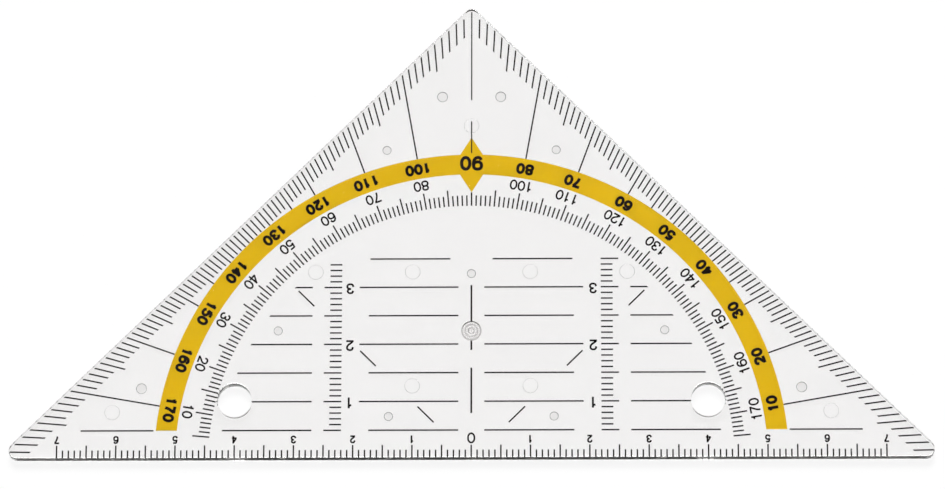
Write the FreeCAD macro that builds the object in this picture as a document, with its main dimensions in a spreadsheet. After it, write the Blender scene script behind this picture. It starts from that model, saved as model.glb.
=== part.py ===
import FreeCAD, Part
import os
import re
import Sketcher
from FreeCAD import Placement, Rotation, Vector

# Clear geometry set square with a printed protractor, in millimetres.
# X runs along the measuring edge, Y towards the right-angled corner, Z up through the plate.
# The origin is the zero mark of the measuring edge on the underside, where the print is.

SIZES = {
    # Moulded plate: the measuring edge is given corner to corner before rounding.
    "measuring_edge": 160.0,
    "plate_thickness": 2.0,
    "corner_radius": 1.4,
    "rim_radius": 0.15,
    # Two holes that take a clip-on grip, each with a bevel round the top.
    "grip_spacing": 80.0,
    "grip_from_edge": 10.0,
    "grip_hole_radius": 2.9,
    "lead_in_radius": 3.05,
    "lead_in_depth": 0.15,
    # Nubs under the plate that keep the print off wet ink, placed in pairs about X = 0.
    "nub_height": 0.25,
    "nub_radius": 0.75,
    "corner_nub_radius": 0.9,
    "nub_bevel": 0.18,
    "low_nub_x": 14.0,
    "low_nub_y": 7.4,
    "side_nub_x": 32.8,
    "side_nub_y": 22.4,
    "band_nub_x": 14.5,
    "band_nub_y": 54.35,
    "centre_nub_y": 32.4,
    "far_nub_x": 55.85,
    "far_nub_y": 12.35,
    "apex_nub_x": 5.0,
    "apex_nub_y": 63.9,
    # Shallow round marks that the ejector pins of the mould leave in the underside.
    "ejector_radius": 1.3,
    "ejector_depth": 0.06,
    "inner_ejector_x": 10.0,
    "low_ejector_y": 12.7,
    "high_ejector_y": 32.7,
    "outer_ejector_x": 26.5,
    "far_ejector_x": 60.75,
    "far_ejector_y": 8.2,
    "apex_ejector_y": 58.7,
    # Gate: a round recess with a ridge and the trimmed stub of the runner in its middle.
    "gate_from_edge": 22.3,
    "gate_radius": 1.7,
    "gate_depth": 0.3,
    "gate_floor_radius": 1.5,
    "gate_ridge_radius": 1.05,
    "gate_ridge_width": 0.15,
    "gate_ridge_height": 0.12,
    "gate_stub_radius": 0.5,
    "gate_stub_height": 0.22,
    # Print: films on the underside, black first and yellow over it.
    "black_film": 0.015,
    "yellow_film": 0.03,
    "line_width": 0.25,
    "print_margin": 0.2,
    # Centimetre scale along the measuring edge.
    "scale_reach": 70.0,
    "millimetre_tick": 1.6,
    "five_millimetre_tick": 2.45,
    # Degree ticks along the two short edges, inset measured along the measuring edge.
    "degree_inset": 4.24,
    "five_degree_inset": 5.58,
    "corner_reach": 77.9,
    # Protractor band and its diamond at 90 degrees.
    "band_inner_radius": 50.0,
    "band_outer_radius": 53.55,
    "band_foot": 5.0,
    "diamond_centre": 51.7,
    "diamond_half_length": 4.9,
    "diamond_half_width": 3.1,
    # Inner degree scale.
    "inner_scale_radius": 44.4,
    "inner_degree_tick": 1.85,
    "inner_five_degree_tick": 2.9,
    # Lines parallel to the measuring edge.
    "line_pitch": 5.0,
    "centre_line_gap": 2.2,
    "short_line_end": 17.4,
    "long_line_end": 19.0,
    "top_line_start": 3.6,
    "top_line_end": 17.2,
    "outer_line_start": 27.0,
    "outer_line_reach": 42.4,
    "far_line_start": 53.7,
    "far_line_end": 66.0,
    # Height scales beside the centre blocks.
    "height_scale_x": 22.0,
    "height_tick": 2.0,
    "five_height_tick": 3.0,
    # Centre line, wider about the gate than near the apex, and broken where figures stand.
    "centre_line_width": 0.3,
    "apex_line_width": 0.21,
    "low_stretch_start": 7.95,
    "low_stretch_end": 15.85,
    "gate_stretch_start": 18.95,
    "gate_stretch_end": 30.35,
    "diamond_stretch_start": 53.8,
    "diamond_stretch_end": 59.5,
    "apex_stretch_start": 63.3,
    # Marks on the two diagonals, by how far their ends stand from both axes.
    "low_mark_start": 6.35,
    "low_mark_end": 9.1,
    "middle_mark_start": 16.2,
    "middle_mark_end": 18.85,
    "high_mark_start": 26.7,
    "high_mark_end": 29.4,
}


def bound(expression):
    """Point every size named in an expression at its cell of the sheet."""
    return re.sub(r"[a-z_]{3,}", lambda word: cell_name(word.group()), expression)


def cell_name(word):
    return f"sizes.{word}" if word in SIZES else word


def make_sheet(doc):
    sheet = doc.addObject("Spreadsheet::Sheet", "sizes")
    for row, (name, value) in enumerate(SIZES.items(), start=1):
        sheet.set(f"A{row}", name)
        sheet.set(f"B{row}", str(value))
        sheet.setAlias(f"B{row}", name)
    doc.recompute()


def new_body(doc, label):
    """A sub-part: its label is also the name of its file."""
    body = doc.addObject("PartDesign::Body", label)
    body.Label = label
    body.AllowCompound = True
    return body


def origin_feature(body, role):
    return next(item for item in body.Origin.OriginFeatures if item.Role == role)


def new_sketch(body, name, role="XY_Plane"):
    sketch = body.newObject("Sketcher::SketchObject", name)
    sketch.AttachmentSupport = [(origin_feature(body, role), "")]
    sketch.MapMode = "FlatFace"
    return sketch


def constrain(sketch, kind, *where, to=None):
    """Add one constraint and, where a size drives it, bind it to that size."""
    drawn = [drawn_size(sketch, kind, where)] if to else []
    index = sketch.addConstraint(Sketcher.Constraint(kind, *where, *drawn))
    if to:
        sketch.setExpression(f"Constraints[{index}]", bound(to))


def drawn_size(sketch, kind, where):
    """Size that the rough drawing has now, from which the sheet drives it to the real one."""
    if kind == "Radius":
        return sketch.Geometry[where[0]].Radius
    way = sketch.getPoint(*where[2:]) - sketch.getPoint(*where[:2])
    return way.x if kind == "DistanceX" else way.y


# Sketcher's numbers for the origin and the two axes, and for the points of a curve.
X_AXIS = -1
Y_AXIS = -2
ORIGIN = (-1, 1)
START = 1
END = 2
CENTRE = 3


def draw_loop(sketch, points):
    """Draw a closed polygon through rough points and return the number of its first line."""
    first = sketch.GeometryCount
    corners = [Vector(x, y, 0) for x, y in points]
    count = len(corners)
    for number, corner in enumerate(corners):
        sketch.addGeometry(Part.LineSegment(corner, corners[(number + 1) % count]), False)
    for number in range(count):
        constrain(sketch, "Coincident", first + number, END, first + (number + 1) % count, START)
    return first


def draw_circle(sketch, x, y, radius):
    """Draw a circle with its centre at driven distances from the origin, or on the Y axis."""
    circle = sketch.addGeometry(Part.Circle(Vector(1, 1, 0), Vector(0, 0, 1), 1), False)
    if x is None:
        constrain(sketch, "PointOnObject", circle, CENTRE, Y_AXIS)
    else:
        constrain(sketch, "DistanceX", *ORIGIN, circle, CENTRE, to=x)
    constrain(sketch, "DistanceY", *ORIGIN, circle, CENTRE, to=y)
    constrain(sketch, "Radius", circle, to=radius)
    return circle


def draw_circle_pair(sketch, x, y, radius):
    """Draw a circle and its twin on the other side of the Y axis."""
    right = draw_circle(sketch, x, y, radius)
    left = sketch.addGeometry(Part.Circle(Vector(-1, 1, 0), Vector(0, 0, 1), 1), False)
    constrain(sketch, "Symmetric", right, CENTRE, left, CENTRE, Y_AXIS)
    constrain(sketch, "Equal", right, left)


def draw_boundary(sketch):
    """Draw a circle round the whole plate, so that a pocket keeps only the loop inside it."""
    circle = sketch.addGeometry(Part.Circle(Vector(0, 0, 0), Vector(0, 0, 1), 1), False)
    constrain(sketch, "Coincident", circle, CENTRE, *ORIGIN)
    constrain(sketch, "Radius", circle, to="measuring_edge")


def pad(body, name, sketch, length, downwards=False):
    feature = body.newObject("PartDesign::Pad", name)
    feature.Profile = sketch
    feature.setExpression("Length", bound(length))
    feature.Reversed = downwards
    return feature


def checked_cut(doc, body, feature, before):
    """Make sure that a cut took material away."""
    doc.recompute()
    if not feature.Shape.Volume < before:
        raise RuntimeError(f"{feature.Label} cuts nothing from {body.Label}")
    return feature


def cut_through(doc, body, name, sketch):
    doc.recompute()
    before = body.Shape.Volume
    feature = body.newObject("PartDesign::Pocket", name)
    feature.Profile = sketch
    feature.Type = "ThroughAll"
    feature.Midplane = True
    return checked_cut(doc, body, feature, before)


def cut_upwards(doc, body, name, sketch, depth):
    """Sink a sketch on the underside into the plate."""
    doc.recompute()
    before = body.Shape.Volume
    feature = body.newObject("PartDesign::Pocket", name)
    feature.Profile = sketch
    feature.setExpression("Length", bound(depth))
    feature.Reversed = True
    return checked_cut(doc, body, feature, before)


def finish_edges(doc, body, name, kind, setting, size, wanted):
    """Round or bevel every edge of the body that the test picks out."""
    doc.recompute()
    base = body.Tip
    chosen = [f"Edge{n}" for n, edge in enumerate(base.Shape.Edges, start=1) if wanted(edge)]
    feature = body.newObject(f"PartDesign::{kind}", name)
    feature.Base = (base, chosen)
    feature.setExpression(setting, bound(size))


# Plate

def draw_plate_outline(sketch):
    """Right-angled isosceles triangle: edge 0 is the measuring edge, 1 and 2 are the short ones."""
    edge = draw_loop(sketch, [(-80, 0), (80, 0), (0, 80)])
    constrain(sketch, "PointOnObject", edge, START, X_AXIS)
    constrain(sketch, "Symmetric", edge, START, edge, END, Y_AXIS)
    constrain(sketch, "Equal", edge + 1, edge + 2)
    constrain(sketch, "Perpendicular", edge + 1, edge + 2)
    constrain(sketch, "DistanceX", edge, START, edge, END, to="measuring_edge")


def is_corner(edge):
    return edge.BoundBox.ZLength > edge.BoundBox.DiagonalLength - 0.01


def is_top_rim(edge):
    return edge.BoundBox.ZMin > SIZES["plate_thickness"] - 0.01


def is_nub_tip(edge):
    return edge.BoundBox.ZMax < 0.01 - SIZES["nub_height"]


def add_grip_holes(doc, body):
    sketch = new_sketch(body, "grip_hole_sketch")
    draw_circle_pair(sketch, "grip_spacing / 2", "grip_from_edge", "grip_hole_radius")
    cut_through(doc, body, "grip_holes", sketch)
    for side, sign in (("left", "-"), ("right", "")):
        before = body.Shape.Volume
        cone = body.newObject("PartDesign::SubtractiveCone", f"{side}_lead_in")
        cone.AttachmentSupport = [(origin_feature(body, "XY_Plane"), "")]
        cone.MapMode = "FlatFace"
        cone.setExpression("Radius1", bound("grip_hole_radius"))
        cone.setExpression("Radius2", bound("lead_in_radius"))
        cone.setExpression("Height", bound("lead_in_depth"))
        cone.setExpression("AttachmentOffset.Base.x", bound(f"{sign}grip_spacing / 2"))
        cone.setExpression("AttachmentOffset.Base.y", bound("grip_from_edge"))
        cone.setExpression("AttachmentOffset.Base.z", bound("plate_thickness - lead_in_depth"))
        checked_cut(doc, body, cone, before)


def add_nubs(doc, body):
    sketch = new_sketch(body, "nub_sketch")
    for place in ("low_nub", "side_nub", "band_nub"):
        draw_circle_pair(sketch, f"{place}_x", f"{place}_y", "nub_radius")
    draw_circle(sketch, None, "centre_nub_y", "nub_radius")
    for place in ("far_nub", "apex_nub"):
        draw_circle_pair(sketch, f"{place}_x", f"{place}_y", "corner_nub_radius")
    pad(body, "nubs", sketch, "nub_height", downwards=True)
    finish_edges(doc, body, "nub_domes", "Chamfer", "Size", "nub_bevel", is_nub_tip)


def add_ejector_marks(doc, body):
    sketch = new_sketch(body, "ejector_sketch")
    places = (("inner_ejector_x", "low_ejector_y"), ("inner_ejector_x", "high_ejector_y"),
              ("outer_ejector_x", "high_ejector_y"), ("far_ejector_x", "far_ejector_y"))
    for x, y in places:
        draw_circle_pair(sketch, x, y, "ejector_radius")
    draw_circle(sketch, None, "apex_ejector_y", "ejector_radius")
    cut_upwards(doc, body, "ejector_marks", sketch, "ejector_depth")


def add_gate(doc, body):
    """Turn the section of the gate recess: stub, floor, ridge, floor and a sloping wall."""
    section = (
        ("0", "gate_depth - gate_stub_height"),
        ("gate_stub_radius", "gate_depth - gate_stub_height"),
        ("gate_stub_radius", "gate_depth"),
        ("gate_ridge_radius - gate_ridge_width", "gate_depth"),
        ("gate_ridge_radius", "gate_depth - gate_ridge_height"),
        ("gate_ridge_radius + gate_ridge_width", "gate_depth"),
        ("gate_floor_radius", "gate_depth"),
        ("gate_radius", "0"),
        ("0", "0"),
    )
    sketch = new_sketch(body, "gate_sketch", "XZ_Plane")
    sketch.setExpression("AttachmentOffset.Base.z", bound("-gate_from_edge"))
    line = draw_loop(sketch, [(1 + number, 1 + number % 3) for number in range(len(section))])
    for number, (radius, height) in enumerate(section):
        if radius == "0":
            constrain(sketch, "PointOnObject", line + number, START, Y_AXIS)
        else:
            constrain(sketch, "DistanceX", *ORIGIN, line + number, START, to=radius)
        if height == "0":
            constrain(sketch, "PointOnObject", line + number, START, X_AXIS)
        else:
            constrain(sketch, "DistanceY", *ORIGIN, line + number, START, to=height)
    doc.recompute()
    before = body.Shape.Volume
    groove = body.newObject("PartDesign::Groove", "gate")
    groove.Profile = sketch
    groove.ReferenceAxis = (sketch, ["V_Axis"])
    groove.Angle = 360
    checked_cut(doc, body, groove, before)


def make_plate(doc):
    body = new_body(doc, "plate")
    outline = new_sketch(body, "plate_outline")
    draw_plate_outline(outline)
    pad(body, "blank", outline, "plate_thickness")
    finish_edges(doc, body, "corners", "Fillet", "Radius", "corner_radius", is_corner)
    finish_edges(doc, body, "top_rim", "Fillet", "Radius", "rim_radius", is_top_rim)
    add_grip_holes(doc, body)
    add_nubs(doc, body)
    add_ejector_marks(doc, body)
    add_gate(doc, body)
    return body


# Printed lines

def add_line(body, name, start, end, level="0", turn="0", width="line_width", lift="0",
             kind="PartDesign::AdditiveBox"):
    """Print one line on the underside.

    It runs from start to end at the given level, and is then turned about the origin.
    """
    line = body.newObject(kind, name)
    line.AttachmentSupport = [(origin_feature(body, "XY_Plane"), "")]
    line.MapMode = "FlatFace"
    line.AttachmentOffset = Placement(Vector(0, 0, 0), Rotation(Vector(0, 0, 1), float(turn)))
    low_side = f"({level} - {width} / 2)"
    across = f"({start}) * cos({turn}) - {low_side} * sin({turn})"
    upwards = f"({start}) * sin({turn}) + {low_side} * cos({turn})"
    line.setExpression("Length", bound(f"({end}) - ({start})"))
    line.setExpression("Width", bound(width))
    line.setExpression("Height", bound("black_film"))
    line.setExpression("AttachmentOffset.Base.x", bound(across))
    line.setExpression("AttachmentOffset.Base.y", bound(upwards))
    line.setExpression("AttachmentOffset.Base.z", bound(f"{lift} - black_film"))
    return line


def repeat_along(body, feature, role, step, count):
    """Repeat a line at even steps along one of the body's axes."""
    pattern = body.newObject("PartDesign::LinearPattern", f"{feature.Name}_row")
    pattern.Originals = [feature]
    pattern.Direction = (origin_feature(body, role), [""])
    pattern.setExpression("Length", bound(f"({step}) * ({count} - 1)"))
    pattern.Occurrences = count
    body.Tip = pattern


def repeat_around(body, feature, step, count):
    """Repeat a line at even angles about the zero mark."""
    pattern = body.newObject("PartDesign::PolarPattern", f"{feature.Name}_fan")
    pattern.Originals = [feature]
    pattern.Axis = (origin_feature(body, "Z_Axis"), [""])
    pattern.Angle = step * (count - 1)
    pattern.Occurrences = count
    body.Tip = pattern


def make_measuring_edge_scale(doc):
    body = new_body(doc, "measuring_edge_scale")
    reach = round(SIZES["scale_reach"])
    tick = add_line(body, "millimetre", "0", "millimetre_tick", "scale_reach", "90")
    repeat_along(body, tick, "X_Axis", "1", 2 * reach + 1)
    tick = add_line(body, "five_millimetres", "0", "five_millimetre_tick", "scale_reach", "90")
    repeat_along(body, tick, "X_Axis", "5", 2 * reach // 5 + 1)
    return body


def trim_to_margin(doc, body, name, inset=None):
    """Keep what lies inside the print margin and, with an inset, no further in than that."""
    sketch = new_sketch(body, f"{name}_sketch")
    draw_boundary(sketch)
    outer = "measuring_edge / 2 - print_margin"
    if inset is None:
        edge = draw_loop(sketch, [(-79, 0), (0, 79), (79, 0)])
    else:
        edge = draw_loop(sketch, [(-79, 0), (0, 79), (79, 0), (70, 0), (0, 70), (-70, 0)])
        inner = f"measuring_edge / 2 - {inset}"
        constrain(sketch, "PointOnObject", edge + 3, START, X_AXIS)
        constrain(sketch, "PointOnObject", edge + 4, START, Y_AXIS)
        constrain(sketch, "Symmetric", edge + 3, START, edge + 5, START, Y_AXIS)
        constrain(sketch, "DistanceX", *ORIGIN, edge + 3, START, to=inner)
        constrain(sketch, "DistanceY", *ORIGIN, edge + 4, START, to=inner)
    constrain(sketch, "PointOnObject", edge + 1, START, Y_AXIS)
    constrain(sketch, "PointOnObject", edge + 2, START, X_AXIS)
    constrain(sketch, "Symmetric", edge, START, edge + 2, START, Y_AXIS)
    constrain(sketch, "DistanceY", *ORIGIN, edge + 1, START, to=outer)
    constrain(sketch, "DistanceX", *ORIGIN, edge + 2, START, to=outer)
    cut_through(doc, body, name, sketch)


def make_outer_degree_scale(doc):
    """Single and five degree ticks along both short edges, radiating from the zero mark."""
    body = new_body(doc, "outer_degree_scale")
    for degree in ("1", "2", "3", "4"):
        tick = add_line(body, f"degree_{degree}", "band_outer_radius", "corner_reach", turn=degree)
        repeat_around(body, tick, 5, 36)
    trim_to_margin(doc, body, "single_degree_trim", "degree_inset")
    tick = add_line(body, "degree_five", "band_outer_radius", "corner_reach", turn="5")
    repeat_around(body, tick, 10, 18)
    trim_to_margin(doc, body, "five_degree_trim", "five_degree_inset")
    return body


def make_ten_degree_lines(doc):
    """Long lines from the band to the short edges at every ten degrees but the ninetieth."""
    body = new_body(doc, "ten_degree_lines")
    for side, turn in (("right", "10"), ("left", "100")):
        line = add_line(body, f"{side}_ten", "band_outer_radius", "corner_reach", turn=turn)
        repeat_around(body, line, 10, 8)
    trim_to_margin(doc, body, "line_trim")
    return body


def make_inner_degree_scale(doc):
    """Ticks from 5 to 175 degrees, longer at each fifth and cut short below the diamond."""
    body = new_body(doc, "inner_degree_scale")
    inner = "inner_scale_radius"
    tick = add_line(body, "degree", inner, f"{inner} + inner_degree_tick", turn="5")
    repeat_around(body, tick, 1, 171)
    for side, turn in (("right", "5"), ("left", "95")):
        end = f"{inner} + inner_five_degree_tick"
        tick = add_line(body, f"{side}_fifth", inner, end, turn=turn)
        repeat_around(body, tick, 5, 17)
    add_line(body, "ninetieth", inner, "diamond_centre - diamond_half_length", turn="90")
    return body


def make_parallel_lines(doc):
    """Ruling lines: a block each side of the centre, one each side of that, and the far ends."""
    body = new_body(doc, "parallel_lines")
    pitch = "line_pitch"
    for side, turn, sign in (("right", "0", ""), ("left", "180", "-")):
        line = add_line(body, f"{side}_outer", "outer_line_start", "outer_line_reach",
                        f"{sign}{pitch}", turn)
        repeat_along(body, line, "Y_Axis", pitch, 6)
    sketch = new_sketch(body, "outer_end_sketch")
    draw_boundary(sketch)
    circle = sketch.addGeometry(Part.Circle(Vector(0, 0, 0), Vector(0, 0, 1), 1), False)
    constrain(sketch, "Coincident", circle, CENTRE, *ORIGIN)
    constrain(sketch, "Radius", circle, to="outer_line_reach")
    cut_through(doc, body, "outer_ends", sketch)
    sketch = new_sketch(body, "grip_hole_clearance_sketch")
    draw_circle_pair(sketch, "grip_spacing / 2", "grip_from_edge", "grip_hole_radius")
    cut_through(doc, body, "grip_hole_clearance", sketch)
    for side, turn, sign in (("right", "0", ""), ("left", "180", "-")):
        line = add_line(body, f"{side}_short", "centre_line_gap", "short_line_end",
                        f"{sign}{pitch}", turn)
        repeat_along(body, line, "Y_Axis", f"2 * {pitch}", 3)
        line = add_line(body, f"{side}_long", "centre_line_gap", "long_line_end",
                        f"{sign}2 * {pitch}", turn)
        repeat_along(body, line, "Y_Axis", f"2 * {pitch}", 3)
        add_line(body, f"{side}_top", "top_line_start", "top_line_end", f"{sign}7 * {pitch}", turn)
        add_line(body, f"{side}_far", "far_line_start", "far_line_end", f"{sign}{pitch}", turn)
    return body


def make_height_scale(doc, side, turn, sign, ticks):
    """Millimetre ticks up one side of the centre, from the first ruling line."""
    body = new_body(doc, f"height_scale_{side}")
    start = "height_scale_x"
    level = f"{sign}line_pitch"
    tick = add_line(body, "tick", start, f"{start} + height_tick", level, turn)
    repeat_along(body, tick, "Y_Axis", "1", ticks)
    tick = add_line(body, "fifth_tick", start, f"{start} + five_height_tick", level, turn)
    repeat_along(body, tick, "Y_Axis", "5", (ticks + 4) // 5)
    return body


# Stretch of the centre line that runs from the diamond to the rim of the ejector mark.
DIAMOND_STRETCH = ("diamond_stretch_start", "apex_ejector_y - ejector_radius")


def make_centre_line(doc):
    """Line at right angles to the zero mark; one end of it lies on the floor of an ejector mark."""
    body = new_body(doc, "centre_line")
    below_gate = "gate_from_edge - gate_radius"
    above_gate = "gate_from_edge + gate_radius"
    for name, start, end in (("low", "low_stretch_start", "low_stretch_end"),
                             ("below_gate", "gate_stretch_start", below_gate),
                             ("above_gate", above_gate, "gate_stretch_end")):
        add_line(body, name, start, end, turn="90", width="centre_line_width")
    add_line(body, "diamond", *DIAMOND_STRETCH, turn="90", width="apex_line_width")
    add_line(body, "in_ejector_mark", DIAMOND_STRETCH[1], "diamond_stretch_end", turn="90",
             width="apex_line_width", lift="ejector_depth")
    apex = "measuring_edge / 2 - corner_radius * (sqrt(2) - 1) - print_margin"
    add_line(body, "apex", "apex_stretch_start", apex, turn="90", width="apex_line_width")
    return body


def make_forty_five_degree_marks(doc):
    """Three short marks on each diagonal through the zero mark."""
    body = new_body(doc, "forty_five_degree_marks")
    for name in ("low_mark", "middle_mark", "high_mark"):
        mark = add_line(body, name, f"{name}_start * sqrt(2)", f"{name}_end * sqrt(2)", turn="45")
        repeat_around(body, mark, 90, 2)
    return body


def make_yellow_band(doc):
    """Half ring and diamond, printed over the centre line so that they wrap round it."""
    body = new_body(doc, "yellow_band")
    sketch = new_sketch(body, "band_sketch")
    draw_band(sketch)
    pad(body, "band", sketch, "yellow_film", downwards=True)
    sketch = new_sketch(body, "diamond_sketch")
    draw_diamond(sketch)
    pad(body, "diamond", sketch, "yellow_film", downwards=True)
    doc.recompute()
    before = body.Shape.Volume
    line = add_line(body, "centre_line_bed", *DIAMOND_STRETCH, turn="90",
                    width="apex_line_width", kind="PartDesign::SubtractiveBox")
    checked_cut(doc, body, line, before)
    return body


def draw_band(sketch):
    """Two arcs about the zero mark, closed by short feet parallel to the measuring edge."""
    arcs = []
    for radius in ("band_outer_radius", "band_inner_radius"):
        circle = Part.Circle(Vector(0, 0, 0), Vector(0, 0, 1), SIZES[radius])
        arcs.append(sketch.addGeometry(Part.ArcOfCircle(circle, 0.1, 3.04), False))
        constrain(sketch, "Coincident", arcs[-1], CENTRE, *ORIGIN)
        constrain(sketch, "Radius", arcs[-1], to=radius)
    outer, inner = arcs
    for point, sign in ((START, 1), (END, -1)):
        foot = Part.LineSegment(Vector(sign * 53, 5, 0), Vector(sign * 49, 5, 0))
        line = sketch.addGeometry(foot, False)
        constrain(sketch, "Coincident", outer, point, line, START)
        constrain(sketch, "Coincident", line, END, inner, point)
        constrain(sketch, "Horizontal", line)
        constrain(sketch, "DistanceY", *ORIGIN, line, START, to="band_foot")


def draw_diamond(sketch):
    """Rhombus with its tips on the centre line."""
    edge = draw_loop(sketch, [(0, 46), (3, 51), (0, 56), (-3, 51)])
    for number, height in ((0, "diamond_centre - diamond_half_length"),
                           (2, "diamond_centre + diamond_half_length")):
        constrain(sketch, "PointOnObject", edge + number, START, Y_AXIS)
        constrain(sketch, "DistanceY", *ORIGIN, edge + number, START, to=height)
    constrain(sketch, "Symmetric", edge + 1, START, edge + 3, START, Y_AXIS)
    constrain(sketch, "DistanceX", *ORIGIN, edge + 1, START, to="diamond_half_width")
    constrain(sketch, "DistanceY", *ORIGIN, edge + 1, START, to="diamond_centre")


def write_parts(doc, bodies):
    """Check every object of the document, then write one file for each sub-part."""
    doc.recompute()
    for item in doc.Objects:
        if "Invalid" in item.State or "Error" in item.State:
            raise RuntimeError(f"{item.Label} did not compute: {item.State}")
    os.makedirs("parts", exist_ok=True)
    for body in bodies:
        shape = body.Shape
        if shape.isNull() or not shape.isValid():
            raise RuntimeError(f"{body.Label} has no valid shape")
        print(f"{body.Label}: {len(shape.Solids)} solids, {len(shape.Faces)} faces,"
              f" {shape.Volume:.3f} mm3, Z {shape.BoundBox.ZMin:.3f} to {shape.BoundBox.ZMax:.3f}")
        shape.exportStep(f"parts/{body.Label}.step")


def main():
    doc = FreeCAD.newDocument("set_square")
    make_sheet(doc)
    bodies = [
        make_plate(doc),
        make_measuring_edge_scale(doc),
        make_outer_degree_scale(doc),
        make_ten_degree_lines(doc),
        make_inner_degree_scale(doc),
        make_parallel_lines(doc),
        make_height_scale(doc, "left", "180", "-", 30),
        make_height_scale(doc, "right", "0", "", 31),
        make_centre_line(doc),
        make_forty_five_degree_marks(doc),
        make_yellow_band(doc),
    ]
    write_parts(doc, bodies)


main()
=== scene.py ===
import bmesh
import bpy
from math import cos, pi, radians, sin, sqrt, tan
from mathutils import Matrix, Vector


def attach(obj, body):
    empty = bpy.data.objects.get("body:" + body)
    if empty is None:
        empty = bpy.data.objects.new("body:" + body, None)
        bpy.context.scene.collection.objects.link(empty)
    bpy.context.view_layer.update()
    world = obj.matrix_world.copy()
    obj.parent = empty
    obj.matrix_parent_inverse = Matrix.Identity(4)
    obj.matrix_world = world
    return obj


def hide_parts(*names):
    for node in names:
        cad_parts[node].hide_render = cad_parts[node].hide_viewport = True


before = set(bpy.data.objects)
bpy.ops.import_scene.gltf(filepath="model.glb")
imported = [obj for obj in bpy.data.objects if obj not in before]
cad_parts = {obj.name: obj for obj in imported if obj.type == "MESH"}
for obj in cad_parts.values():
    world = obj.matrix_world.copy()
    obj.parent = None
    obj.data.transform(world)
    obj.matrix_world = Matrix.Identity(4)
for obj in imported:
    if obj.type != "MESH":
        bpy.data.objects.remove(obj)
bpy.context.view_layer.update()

# Clear geometry set square with a printed protractor.
# Shapes are drawn in millimetres and brought to metres when they are finished.
# X runs along the measuring edge, Y towards the right-angled corner, Z up through the plate.

MM = 0.001

# Plate
MEASURING_EDGE = 160.0
THICKNESS = 2.0
CORNER_RADIUS = 1.4
RIM_RADIUS = 0.15
GRIP_HOLE_X = 40.0
GRIP_HOLE_Y = 10.0
GRIP_HOLE_RADIUS = 2.9
LEAD_IN_RADIUS = 3.05
LEAD_IN_DEPTH = 0.15

# Nubs by place and radius: small feet that keep the print off the paper.
NUB_HEIGHT = 0.25
NUB_DOME = 0.18
NUBS = ((14.0, 7.4, 0.75), (32.8, 22.4, 0.75), (14.5, 54.35, 0.75), (0.0, 32.4, 0.75),
        (55.85, 12.35, 0.9), (5.0, 63.9, 0.9))

# Ejector marks by place: shallow discs with a fine burr round them, which gives their grey ring.
# The burr is in this script only, and its size is guessed.
EJECTOR_RADIUS = 1.3
EJECTOR_DEPTH = 0.06
EJECTOR_DRAFT = 0.05
BURR_HALF_WIDTH = 0.035
BURR_HEIGHT = 0.045
EJECTOR_MARKS = ((10.0, 12.7), (10.0, 32.7), (26.5, 32.7), (60.75, 8.2), (0.0, 58.7))

# Gate by radius and height above the underside, and the spacing of the rings of painted shade
# that darken its crazed face on the edges of its relief.
GATE_Y = 22.3
GATE_SECTION = ((1.7, 0.0), (1.5, 0.3), (1.2, 0.3), (1.05, 0.18), (0.9, 0.3),
                (0.5, 0.3), (0.45, 0.08), (0.0, 0.08))
GATE_RING = 0.55

# The underside closes round the top of the print, so that ink and plastic touch without air.
INK_BITE = 0.004

# Print
BLACK_FILM = 0.015
YELLOW_GAP = 0.001
SCALE_REACH = 70

# Places of the printed figures
MEASURING_EDGE_FIGURE_Y = 3.42
ZERO_FIGURE_Y = 3.63
HEIGHT_FIGURE_X = (-20.6, 20.68)
HEIGHT_FIGURE_DROP = 0.23
BAND_FIGURE_RADIUS = 51.7
NINETY_FIGURE_RADIUS = 51.97
BAND_FIGURE_TOP = 0.003
INNER_FIGURE_RADIUS = 48.67

# Fineness of the mesh
CORNER_STEP = 5
HOLE_STEPS = 96
GATE_STEPS = 64
MARK_STEPS = 48
ROUNDING_STEPS = 4
MERGE_DISTANCE = 0.0005
LEVEL_TOLERANCE = 0.001
FLAT_WITHIN = 0.99999
SHARP_ANGLE = 1.0


def linear(hex_value):
    """Turn an sRGB hex value into the linear colour that a shader takes."""
    channels = [int(hex_value[place:place + 2], 16) / 255 for place in (1, 3, 5)]
    return [c / 12.92 if c <= 0.04045 else ((c + 0.055) / 1.055) ** 2.4 for c in channels] + [1]


def add_node(tree, kind, inputs=None, **settings):
    """Add a node with its settings; an input is a value, or the socket that feeds it."""
    node = tree.nodes.new(kind)
    for name, value in settings.items():
        setattr(node, name, value)
    for name, value in (inputs or {}).items():
        if isinstance(value, bpy.types.NodeSocket):
            tree.links.new(value, node.inputs[name])
        else:
            node.inputs[name].default_value = value
    return node


def new_material(name):
    material = bpy.data.materials.new(name)
    material.use_nodes = True
    material.node_tree.nodes.clear()
    return material, material.node_tree


# Materials

# Polystyrene: where its surface changes and how coarse its pattern is.
GATE_CRAZED_RADIUS = 1.65
GATE_CLEAR_RADIUS = 1.8
NUB_CLEAR_LEVEL = -0.12
NUB_DULL_AND_SHADED_LEVEL = -0.2
SHORT_EDGE_FACING = (0.35, 0.6)
SWELL_SPACING = 12
SWELL_HEIGHT = 0.01
DIMMING_PER_METRE = 20.0

# Ink: a mesh of 90 threads to the centimetre is too fine to show, so its cloud is drawn coarser.
CLOUD_SPACING = 0.6
INK_ROUGHNESS = (0.42, 0.58)


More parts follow.
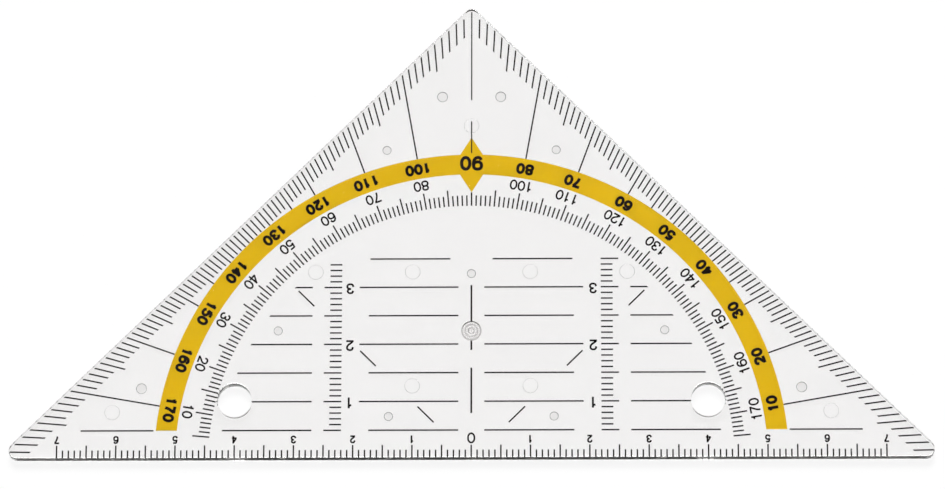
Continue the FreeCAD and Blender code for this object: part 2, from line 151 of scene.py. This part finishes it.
def clear_moulded_polystyrene():
    """General purpose polystyrene from a polished mould.

    It is water clear with a hard gloss and a strong glint at its edges. The short edges and the
    tips of the nubs are a little dull. They are also greyed with painted shade: on the walls that
    face the apex, which are the short edges and the side of each hole nearer the measuring edge,
    and on the nub tips where they touch the floor. The gate, where the runner was cut off, is
    crazed and grey, with darker rings of painted shade on the edges of its relief.
    """
    material, tree = new_material("clear_moulded_polystyrene")
    place = add_node(tree, "ShaderNodeTexCoord").outputs["Object"]
    from_gate = add_node(tree, "ShaderNodeVectorMath", {
        0: place, 1: (0, GATE_Y * MM, 0)}, operation="DISTANCE").outputs["Value"]
    gate = add_node(tree, "ShaderNodeMapRange", {
        "Value": from_gate, "From Min": GATE_CLEAR_RADIUS * MM,
        "From Max": GATE_CRAZED_RADIUS * MM}).outputs["Result"]
    # Darker rings of painted shade fall on the edges of the gate's relief, over the grey of its
    # crazing.
    wave = add_node(tree, "ShaderNodeMath", {
        0: from_gate, 1: 2 * pi / (GATE_RING * MM)}, operation="MULTIPLY").outputs["Value"]
    wave = add_node(tree, "ShaderNodeMath", {0: wave}, operation="COSINE").outputs["Value"]
    rings = add_node(tree, "ShaderNodeMapRange", {
        "Value": wave, "From Min": -1.0, "To Min": 0.45, "To Max": 1.0}).outputs["Result"]
    rings = add_node(tree, "ShaderNodeMath", {0: rings, 1: gate},
                     operation="MULTIPLY").outputs["Value"]
    height = add_node(tree, "ShaderNodeSeparateXYZ", {"Vector": place}).outputs["Z"]
    # The nub tips are made dull, and greyed with painted shade where they touch the floor.
    tip = add_node(tree, "ShaderNodeMapRange", {
        "Value": height, "From Min": NUB_CLEAR_LEVEL * MM,
        "From Max": NUB_DULL_AND_SHADED_LEVEL * MM}).outputs["Result"]
    # From inside the plastic a normal comes turned round, so it is turned back.
    surface = add_node(tree, "ShaderNodeNewGeometry").outputs
    outwards = add_node(tree, "ShaderNodeMath", {
        0: surface["Backfacing"], 1: -2.0, 2: 1.0}, operation="MULTIPLY_ADD").outputs["Value"]
    facing = add_node(tree, "ShaderNodeSeparateXYZ", {"Vector": surface["Normal"]}).outputs["Y"]
    facing = add_node(tree, "ShaderNodeMath", {0: facing, 1: outwards},
                      operation="MULTIPLY").outputs["Value"]
    # Walls that face the apex, the short edges and one side of each hole, are made dull and greyed
    # with painted shade.
    edge = add_node(tree, "ShaderNodeMapRange", {
        "Value": facing, "From Min": SHORT_EDGE_FACING[0],
        "From Max": SHORT_EDGE_FACING[1]}).outputs["Result"]
    # The melt leaves faint swells as it flows.
    swell = add_node(tree, "ShaderNodeTexNoise", {
        "Vector": place, "Scale": 1 / (SWELL_SPACING * MM), "Detail": 1.0})
    roughness = add_node(tree, "ShaderNodeMapRange", {
        "Value": swell.outputs["Fac"], "To Min": 0.01, "To Max": 0.035}).outputs["Result"]
    for mask, dullness in ((gate, 0.2), (edge, 0.3), (tip, 0.4)):
        roughness = add_node(tree, "ShaderNodeMath", {0: mask, 1: dullness, 2: roughness},
                             operation="MULTIPLY_ADD").outputs["Value"]
    swells = add_node(tree, "ShaderNodeBump", {
        "Strength": 0.2, "Distance": SWELL_HEIGHT * MM, "Height": swell.outputs["Fac"]})
    # The grey adds the painted shade on the walls that face the apex and on the nub tips to the
    # gate's crazing and its rings of painted shade.
    grey = rings
    for mask, share in ((edge, 0.6), (tip, 0.35)):
        grey = add_node(tree, "ShaderNodeMath", {0: mask, 1: share, 2: grey},
                        operation="MULTIPLY_ADD").outputs["Value"]
    colour = add_node(tree, "ShaderNodeMix", {
        "Factor": grey, "A": linear("#FFFEFE"), "B": linear("#A39E9E")}, data_type="RGBA")
    plastic = add_node(tree, "ShaderNodeBsdfPrincipled", {
        "Base Color": colour.outputs["Result"], "Roughness": roughness, "IOR": 1.59,
        "Transmission Weight": 1.0, "Normal": swells.outputs["Normal"]})
    # Light that runs 10 cm inside the plastic is dimmed to about a third. It shows little: face
    # and walls alike render 1 to 3 percent darker.
    depth = add_node(tree, "ShaderNodeVolumeAbsorption", {
        "Color": linear("#B3AE9C"), "Density": DIMMING_PER_METRE})
    add_node(tree, "ShaderNodeOutputMaterial", {
        "Surface": plastic.outputs["BSDF"], "Volume": depth.outputs["Volume"]})
    return material


def screen_printed_ink(name, full, thin):
    """Solvent ink squeezed through a mesh.

    It lies flat and satin, a little thinner where the mesh threads crossed.
    """
    material, tree = new_material(name)
    place = add_node(tree, "ShaderNodeTexCoord").outputs["Object"]
    cloud = add_node(tree, "ShaderNodeTexNoise", {
        "Vector": place, "Scale": 1 / (CLOUD_SPACING * MM), "Detail": 3.0,
        "Roughness": 0.6}).outputs["Fac"]
    colour = add_node(tree, "ShaderNodeMix", {
        "Factor": cloud, "A": linear(full), "B": linear(thin)}, data_type="RGBA")
    roughness = add_node(tree, "ShaderNodeMapRange", {
        "Value": cloud, "To Min": INK_ROUGHNESS[0], "To Max": INK_ROUGHNESS[1]})
    ink = add_node(tree, "ShaderNodeBsdfPrincipled", {
        "Base Color": colour.outputs["Result"], "Roughness": roughness.outputs["Result"],
        "IOR": 1.15})
    add_node(tree, "ShaderNodeOutputMaterial", {"Surface": ink.outputs["BSDF"]})
    return material


# Plate

def all_flat(face):
    """Films are flat all over."""
    return True


def finish_piece(bm, name, material, is_flat=all_flat):
    """Close the mesh, bring it to metres and hang it on the object."""
    bmesh.ops.remove_doubles(bm, verts=bm.verts, dist=MERGE_DISTANCE)
    bmesh.ops.recalc_face_normals(bm, faces=bm.faces)
    for face in bm.faces:
        face.smooth = not is_flat(face)
    bmesh.ops.scale(bm, verts=bm.verts, vec=(MM, MM, MM))
    mesh = bpy.data.meshes.new(name)
    bm.to_mesh(mesh)
    bm.free()
    mesh.materials.append(material)
    piece = bpy.data.objects.new(name, mesh)
    bpy.context.scene.collection.objects.link(piece)
    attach(piece, "root")
    return piece


def draw_outline(bm, level):
    """Right-angled triangle with rounded corners, as a closed run of edges."""
    half = MEASURING_EDGE / 2
    corner = half - CORNER_RADIUS / tan(pi / 8)
    apex = half - CORNER_RADIUS * sqrt(2)
    ends = []
    for centre, start, sweep in (((corner, CORNER_RADIUS), -90, 135), ((0, apex), 45, 90),
                                 ((-corner, CORNER_RADIUS), 135, 135)):
        middle = Vector((*centre, level))
        out = Vector((cos(radians(start)), sin(radians(start)), 0))
        first = bm.verts.new(middle + CORNER_RADIUS * out)
        arc = bmesh.ops.spin(bm, geom=[first], cent=middle, axis=(0, 0, 1),
                             angle=radians(sweep), steps=sweep // CORNER_STEP)
        ends.append((first, arc["geom_last"][0]))
    for (_, end), (start, _) in zip(ends, ends[1:] + ends[:1]):
        bm.edges.new((end, start))
    return bm.edges[:]


def raise_wall(bm, outline, height):
    """Extrude the outline and round the rim where the wall meets the top."""
    wall = bmesh.ops.extrude_edge_only(bm, edges=outline)["geom"]
    bmesh.ops.translate(bm, verts=[v for v in wall if isinstance(v, bmesh.types.BMVert)],
                        vec=(0, 0, height))
    rim = [e for e in wall if isinstance(e, bmesh.types.BMEdge)]
    # A lid gives the bevel its second side, and is opened again for the holes.
    bmesh.ops.contextual_create(bm, geom=rim)
    bmesh.ops.bevel(bm, geom=rim, offset=RIM_RADIUS, affect="EDGES", segments=ROUNDING_STEPS,
                    profile=0.5, material=-1)
    lid = [face for face in bm.faces if len(face.verts) > 4]
    bmesh.ops.delete(bm, geom=lid, context="FACES_ONLY")


def turn_section(bm, x, y, section, steps):
    """Turn a section, given as radius and height, about its own upright axis."""
    points = [bm.verts.new((x + radius, y, height)) for radius, height in section]
    lines = [bm.edges.new(pair) for pair in zip(points, points[1:])]
    bmesh.ops.spin(bm, geom=points + lines, cent=(x, y, 0), axis=(0, 0, 1), angle=2 * pi,
                   steps=steps, use_merge=True)


def both_sides(x):
    """A place and its mirror image, or one place on the centre line."""
    return (x, -x) if x else (0.0,)


def close_level(bm, level):
    """Fill between all open rims at one level."""
    rims = [edge for edge in bm.edges if edge.is_boundary
            and all(abs(v.co.z - level) < LEVEL_TOLERANCE for v in edge.verts)]
    bmesh.ops.triangle_fill(bm, edges=rims, use_beauty=True, normal=(0, 0, 1))


def is_moulded_flat(face):
    """True on the top, the underside, the floors of the marks and the three straight walls."""
    slant = sqrt(0.5)
    flats = ((0, 0, 1), (0, 0, -1), (0, -1, 0), (slant, slant, 0), (-slant, slant, 0))
    return max(face.normal.dot(Vector(flat)) for flat in flats) > FLAT_WITHIN


def make_plate(plastic):
    """One moulding: the triangle with its grip holes, nubs, ejector marks and gate."""
    bm = bmesh.new()
    underside = -INK_BITE
    outline = draw_outline(bm, underside)
    raise_wall(bm, outline, THICKNESS - underside)
    hole = ((GRIP_HOLE_RADIUS, underside), (GRIP_HOLE_RADIUS, THICKNESS - LEAD_IN_DEPTH),
            (LEAD_IN_RADIUS, THICKNESS))
    for x in both_sides(GRIP_HOLE_X):
        turn_section(bm, x, GRIP_HOLE_Y, hole, HOLE_STEPS)
    for middle, y, radius in NUBS:
        nub = ((radius, underside), (radius, -NUB_HEIGHT), (0, -NUB_HEIGHT))
        for x in both_sides(middle):
            turn_section(bm, x, y, nub, MARK_STEPS)
    mark = ((EJECTOR_RADIUS + BURR_HALF_WIDTH, underside),
            (EJECTOR_RADIUS, underside - BURR_HEIGHT),
            (EJECTOR_RADIUS - BURR_HALF_WIDTH, underside),
            (EJECTOR_RADIUS - EJECTOR_DRAFT, underside + EJECTOR_DEPTH),
            (0, underside + EJECTOR_DEPTH))
    for middle, y in EJECTOR_MARKS:
        for x in both_sides(middle):
            turn_section(bm, x, y, mark, MARK_STEPS)
    gate = [(radius, underside + up) for radius, up in GATE_SECTION]
    turn_section(bm, 0, GATE_Y, gate, GATE_STEPS)
    bmesh.ops.remove_doubles(bm, verts=bm.verts, dist=MERGE_DISTANCE)
    tips = [edge for edge in bm.edges if edge.calc_face_angle(0) > SHARP_ANGLE
            and all(v.co.z < LEVEL_TOLERANCE - NUB_HEIGHT for v in edge.verts)]
    bmesh.ops.bevel(bm, geom=tips, offset=NUB_DOME, affect="EDGES", segments=ROUNDING_STEPS,
                    profile=0.5, material=-1)
    close_level(bm, THICKNESS)
    close_level(bm, underside)
    plate = finish_piece(bm, "moulded_plate", plastic, is_moulded_flat)
    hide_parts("plate")


# Figures

# Strokes of each figure on a box one wide and one high. One that ends where it starts is a loop.
STROKES = {
    "0": (((0.5, 1), (0.12, 0.84), (0, 0.5), (0.12, 0.16), (0.5, 0), (0.88, 0.16), (1, 0.5),
           (0.88, 0.84), (0.5, 1)),),
    "1": (((0.62, 1.1), (0.62, -0.1)), ((0.6, 0.93), (0.48, 0.8), (0.2, 0.76))),
    "2": (((0.02, 0.66), (0.13, 0.91), (0.5, 1), (0.88, 0.9), (0.97, 0.7), (0.8, 0.46),
           (0.4, 0.25), (0.1, 0.07), (0.02, 0)), ((-0.1, 0), (1.1, 0))),
    "3": (((0.05, 0.72), (0.16, 0.93), (0.5, 1), (0.83, 0.92), (0.92, 0.75), (0.8, 0.59),
           (0.4, 0.53)),
          ((0.4, 0.53), (0.84, 0.46), (1, 0.27), (0.86, 0.07), (0.5, 0), (0.13, 0.08), (0, 0.3))),
    "4": (((0.76, 1.1), (0.76, -0.1)), ((0.76, 1), (0, 0.26)), ((-0.1, 0.26), (1.15, 0.26))),
    "5": (((0.2, 1), (1, 1)), ((0.22, 1.05), (0.08, 0.46)),
          ((0.08, 0.48), (0.25, 0.6), (0.52, 0.64), (0.87, 0.54), (1, 0.32), (0.86, 0.08),
           (0.48, 0), (0.14, 0.07), (0, 0.26))),
    "6": (((0.95, 0.77), (0.83, 0.94), (0.54, 1), (0.18, 0.86), (0.01, 0.5), (0.02, 0.3)),
          ((0.51, 0.62), (0.15, 0.53), (0.02, 0.31), (0.15, 0.08), (0.51, 0), (0.87, 0.08),
           (1, 0.31), (0.87, 0.54), (0.51, 0.62))),
    "7": (((-0.1, 1), (1.1, 1)), ((1, 1), (0.66, 0.62), (0.44, 0.28), (0.36, -0.08))),
    "8": (((0.5, 1), (0.16, 0.93), (0.06, 0.76), (0.17, 0.6), (0.5, 0.54), (0.83, 0.6),
           (0.94, 0.76), (0.84, 0.93), (0.5, 1)),
          ((0.5, 0.54), (0.13, 0.46), (0, 0.27), (0.14, 0.07), (0.5, 0), (0.86, 0.07), (1, 0.27),
           (0.87, 0.46), (0.5, 0.54))),
}
STROKES["9"] = tuple(tuple((1 - x, 1 - y) for x, y in stroke) for stroke in STROKES["6"])


def add_stroke(curve, points, handle):
    """Add a run of points to a curve, closed where it ends at its start."""
    closed = points[0] == points[-1]
    points = points[:-1] if closed else points
    spline = curve.splines.new("BEZIER")
    spline.bezier_points.add(len(points) - 1)
    for knot, (x, y) in zip(spline.bezier_points, points):
        knot.co = (x, y, 0)
        knot.handle_left_type = handle
        knot.handle_right_type = handle
    spline.use_cyclic_u = closed


class Figures:
    """Figures of one size, drawn with a flat pen."""

    def __init__(self, height, weight, width=0.68, advance=0.75, top=0.0):
        self.height = height
        self.weight = weight
        self.width = width * height
        self.advance = advance * height
        self.top = top
        self.drawn = {}

    def mesh(self, figure):
        """Mesh of one figure about the middle of its box, made when it is first asked for."""
        if figure not in self.drawn:
            self.drawn[figure] = self.draw(figure)
        return self.drawn[figure]

    def draw(self, figure):
        """Sweep the pen along the strokes of one figure."""
        pen = bpy.data.curves.new("pen", "CURVE")
        add_stroke(pen, [(x * self.weight / 2, y * BLACK_FILM / 2) for x, y in
                         ((-1, -1), (1, -1), (1, 1), (-1, 1), (-1, -1))], "VECTOR")
        curve = bpy.data.curves.new("figure", "CURVE")
        curve.dimensions = "3D"
        curve.twist_mode = "Z_UP"
        curve.bevel_mode = "OBJECT"
        curve.bevel_object = bpy.data.objects.new("pen", pen)
        curve.use_fill_caps = True
        curve.resolution_u = 4
        span = (self.width - self.weight, self.height - self.weight)
        for stroke in STROKES[figure]:
            add_stroke(curve, [((x - 0.5) * span[0], (y - 0.5) * span[1]) for x, y in stroke],
                       "AUTO")
        holder = bpy.data.objects.new("figure", curve)
        bpy.context.scene.collection.objects.link(holder)
        depsgraph = bpy.context.evaluated_depsgraph_get()
        mesh = bpy.data.meshes.new_from_object(holder.evaluated_get(depsgraph))
        bpy.data.objects.remove(curve.bevel_object)
        bpy.data.objects.remove(holder)
        return mesh

    def write(self, bm, text, x, y, turn):
        """Add a number about a middle point, turned by an angle in degrees."""
        place = Matrix.Translation((x, y, self.top - BLACK_FILM / 2))
        place = place @ Matrix.Rotation(radians(turn), 4, "Z")
        for number, figure in enumerate(text):
            shift = (number - (len(text) - 1) / 2) * self.advance
            known = len(bm.verts)
            bm.from_mesh(self.mesh(figure))
            bm.verts.ensure_lookup_table()
            bmesh.ops.transform(bm, verts=bm.verts[known:],
                                matrix=place @ Matrix.Translation((shift, 0, 0)))


def make_measuring_edge_figures(ink):
    """Centimetres, counted from the zero mark to both ends, with their tops to the edge."""
    small = Figures(height=1.4, weight=0.29)
    large = Figures(height=1.9, weight=0.3, width=0.72)
    bm = bmesh.new()
    for mark in range(1, SCALE_REACH // 10 + 1):
        for x in both_sides(10.0 * mark):
            small.write(bm, str(mark), x, MEASURING_EDGE_FIGURE_Y, 180)
    large.write(bm, "0", 0, ZERO_FIGURE_Y, 180)
    finish_piece(bm, "measuring_edge_figures", ink)


def make_height_figures(ink):
    """Centimetres on the two height scales."""
    style = Figures(height=1.9, weight=0.33, width=0.72)
    bm = bmesh.new()
    for mark in (1, 2, 3):
        for x in HEIGHT_FIGURE_X:
            style.write(bm, str(mark), x, 10.0 * mark - HEIGHT_FIGURE_DROP, 180)
    finish_piece(bm, "height_figures", ink)


# Setting errors of the printed figures along the reading direction, by angle.
BAND_SHIFTS = {10: 0.4, 20: 0, 30: -0.08, 40: 0.03, 50: -0.12, 60: -0.17, 70: 0.35, 80: -0.18,
               100: 0.12, 110: 0.25, 120: 0.39, 130: 0.44, 140: 0.54, 150: 0.31, 160: 0.33,
               170: 0.25}
INNER_SHIFTS = {170: 0, 160: -0.15, 150: -0.2, 140: 0.1, 130: -0.2, 120: -0.2, 110: 0.33,
                100: -0.08, 80: 0.15, 70: 0.15, 60: 0.12, 50: 0.17, 40: 0.27, 30: 0, 20: 0,
                10: 0}


def write_round(bm, style, text, angle, radius, shift):
    """Add a number at an angle about the zero mark, with its top to the middle."""
    turn = radians(angle)
    x = radius * cos(turn) - shift * sin(turn)
    y = radius * sin(turn) + shift * cos(turn)
    style.write(bm, text, x, y, angle + 90)


def make_band_figures(ink):
    """Heavy figures of the protractor band, printed before the yellow."""
    style = Figures(height=2.0, weight=0.52, width=0.76, advance=0.76, top=BAND_FIGURE_TOP)
    large = Figures(height=2.65, weight=0.58, width=0.74, advance=0.76, top=BAND_FIGURE_TOP)
    bm = bmesh.new()
    for angle, shift in BAND_SHIFTS.items():
        write_round(bm, style, str(angle), angle, BAND_FIGURE_RADIUS, shift)
    write_round(bm, large, "90", 90, NINETY_FIGURE_RADIUS, 0)
    finish_piece(bm, "band_figures", ink)


def make_inner_scale_figures(ink):
    """Light figures inside the band, counted from the other end."""
    style = Figures(height=1.83, weight=0.3, width=0.7, advance=0.74)
    bm = bmesh.new()
    for label, shift in INNER_SHIFTS.items():
        write_round(bm, style, str(label), 180 - label, INNER_FIGURE_RADIUS, shift)
    finish_piece(bm, "inner_scale_figures", ink)


# Films

def make_yellow_print(band, ink):
    """Yellow film of the band and the diamond, a hair below the plastic.

    A film in full contact looks dull through it; the real one is as bright as on paper.
    """
    bm = bmesh.new()
    bm.from_mesh(band.data)
    bmesh.ops.scale(bm, verts=bm.verts, vec=(1 / MM, 1 / MM, 1 / MM))
    bmesh.ops.translate(bm, verts=bm.verts, vec=(0, 0, -INK_BITE - YELLOW_GAP))
    film = finish_piece(bm, "yellow_print", ink)
    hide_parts("yellow_band")


def coat(nodes, names, material):
    """Give printed nodes of the construction their ink."""
    for name in names:
        for slot in nodes[name].material_slots:
            slot.material = material


# Studio

# Floor: radius in metres, and the rest in millimetres.
FLOOR_RADIUS = 6
FLOOR_GAP = 0.01
CARD_MIDDLE = (0, 35, 0)
CARD_WHITE_TO = 120
CARD_DARK_FROM = 240

# Share of the card's white that doesn't depend on light, by what sees it.
CARD_GLOW = (("Is Camera Ray", 0.9), ("Is Transmission Ray", 0.88), ("Is Glossy Ray", 0.05))

# Softboxes by compass turn from the apex, height above the horizon and brightness, the angles
# from the middle between which each fades, and the brightness of the room round them.
SOFTBOXES = ((0, 55, 22.5), (-90, 50, 0.6), (90, 50, 0.6))
SOFTBOX_FADE = (8, 17)
ROOM_BRIGHTNESS = 0.05

# Camera: lens and film in millimetres, place in metres and turn in radians.
CAMERA_LENS = 192.34
CAMERA_SENSOR = 36
CAMERA_PLACE = (0.01413, -0.19645, 0.82913)
CAMERA_TURN = (0.27528, 0.01621, -0.00324)


def white_card():
    """Matt card, white under the object, with painted shade far off so that its walls mirror little
    light.
    """
    material, tree = new_material("white_card")
    place = add_node(tree, "ShaderNodeTexCoord").outputs["Object"]
    distance = add_node(tree, "ShaderNodeVectorMath", {
        0: place, 1: [c * MM for c in CARD_MIDDLE]}, operation="DISTANCE").outputs["Value"]
    # Painted shade: the card darkens from white to dark grey between 120 and 240 mm from its
    # middle.
    far = add_node(tree, "ShaderNodeMapRange", {
        "Value": distance, "From Min": CARD_WHITE_TO * MM,
        "From Max": CARD_DARK_FROM * MM}).outputs["Result"]
    white = add_node(tree, "ShaderNodeMix", {
        "Factor": far, "A": linear("#FDFDFD"), "B": linear("#303030")}, data_type="RGBA")
    card = add_node(tree, "ShaderNodeBsdfDiffuse", {
        "Color": white.outputs["Result"]}).outputs["BSDF"]
    glow = add_node(tree, "ShaderNodeEmission", {
        "Color": (1, 1, 1, 1), "Strength": 1.0}).outputs["Emission"]
    ray = add_node(tree, "ShaderNodeLightPath").outputs
    share = 0.0
    for kind, part in CARD_GLOW:
        share = add_node(tree, "ShaderNodeMath", {0: ray[kind], 1: part, 2: share},
                         operation="MULTIPLY_ADD").outputs["Value"]
    surface = add_node(tree, "ShaderNodeMixShader", {0: share, 1: card, 2: glow})
    add_node(tree, "ShaderNodeOutputMaterial", {"Surface": surface.outputs["Shader"]})
    return material


def make_floor():
    """White card that the nubs stand on, lit up where the lens or the clear plastic sees it."""
    bm = bmesh.new()
    bmesh.ops.create_circle(bm, cap_ends=True, segments=64, radius=FLOOR_RADIUS)
    bmesh.ops.translate(bm, verts=bm.verts, vec=(0, 0, (-NUB_HEIGHT - FLOOR_GAP) * MM))
    mesh = bpy.data.meshes.new("floor")
    bm.to_mesh(mesh)
    bm.free()
    mesh.materials.append(white_card())
    floor = bpy.data.objects.new("floor", mesh)
    bpy.context.scene.collection.objects.link(floor)


def add_softbox(tree, toward, level, turn, height, power):
    """Add a round softbox to the sky, soft at its rim."""
    middle = (sin(turn) * cos(height), cos(turn) * cos(height), sin(height))
    facing = add_node(tree, "ShaderNodeVectorMath", {0: toward, 1: middle},
                      operation="DOT_PRODUCT").outputs["Value"]
    full, none = (cos(radians(angle)) for angle in SOFTBOX_FADE)
    fade = add_node(tree, "ShaderNodeMapRange", {
        "Value": facing, "From Min": none, "From Max": full,
        "To Min": 0.0, "To Max": power}, interpolation_type="SMOOTHSTEP")
    return add_node(tree, "ShaderNodeMath", {0: fade.outputs["Result"], 1: level},
                    operation="ADD").outputs["Value"]


def make_world():
    """Dim room with soft light from behind and from both sides, and none that glares."""
    world = bpy.data.worlds.new("studio")
    world.use_nodes = True
    tree = world.node_tree
    tree.nodes.clear()
    toward = add_node(tree, "ShaderNodeTexCoord").outputs["Generated"]
    level = ROOM_BRIGHTNESS
    for turn, height, power in SOFTBOXES:
        level = add_softbox(tree, toward, level, radians(turn), radians(height), power)
    light = add_node(tree, "ShaderNodeBackground", {"Color": (1, 1, 1, 1), "Strength": level})
    add_node(tree, "ShaderNodeOutputWorld", {"Surface": light.outputs["Background"]})
    bpy.context.scene.world = world


def add_camera():
    """Long lens almost straight above, a little in front of the measuring edge."""
    data = bpy.data.cameras.new("camera")
    data.lens = CAMERA_LENS
    data.sensor_width = CAMERA_SENSOR
    camera = bpy.data.objects.new("camera", data)
    camera.location = CAMERA_PLACE
    camera.rotation_mode = "ZYX"
    camera.rotation_euler = CAMERA_TURN
    bpy.context.scene.collection.objects.link(camera)
    bpy.context.scene.camera = camera


def make_set_square(nodes):
    """Print first, then the plate and the figures."""
    black = screen_printed_ink("screen_printed_black_ink", "#190F0E", "#261A1A")
    yellow = screen_printed_ink("screen_printed_yellow_ink", "#EAC300", "#E4BA00")
    coat(nodes, [name for name in nodes if name not in ("plate", "yellow_band")], black)
    make_yellow_print(nodes["yellow_band"], yellow)
    make_plate(clear_moulded_polystyrene())
    make_measuring_edge_figures(black)
    make_height_figures(black)
    make_band_figures(black)
    make_inner_scale_figures(black)


def make_studio():
    """Floor, light and camera, and the light paths that clear plastic needs."""
    make_floor()
    make_world()
    add_camera()
    bpy.context.scene.view_settings.view_transform = "Standard"
    bpy.context.scene.cycles.blur_glossy = 0
    bpy.context.scene.cycles.glossy_bounces = 12


make_set_square(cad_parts)
make_studio()
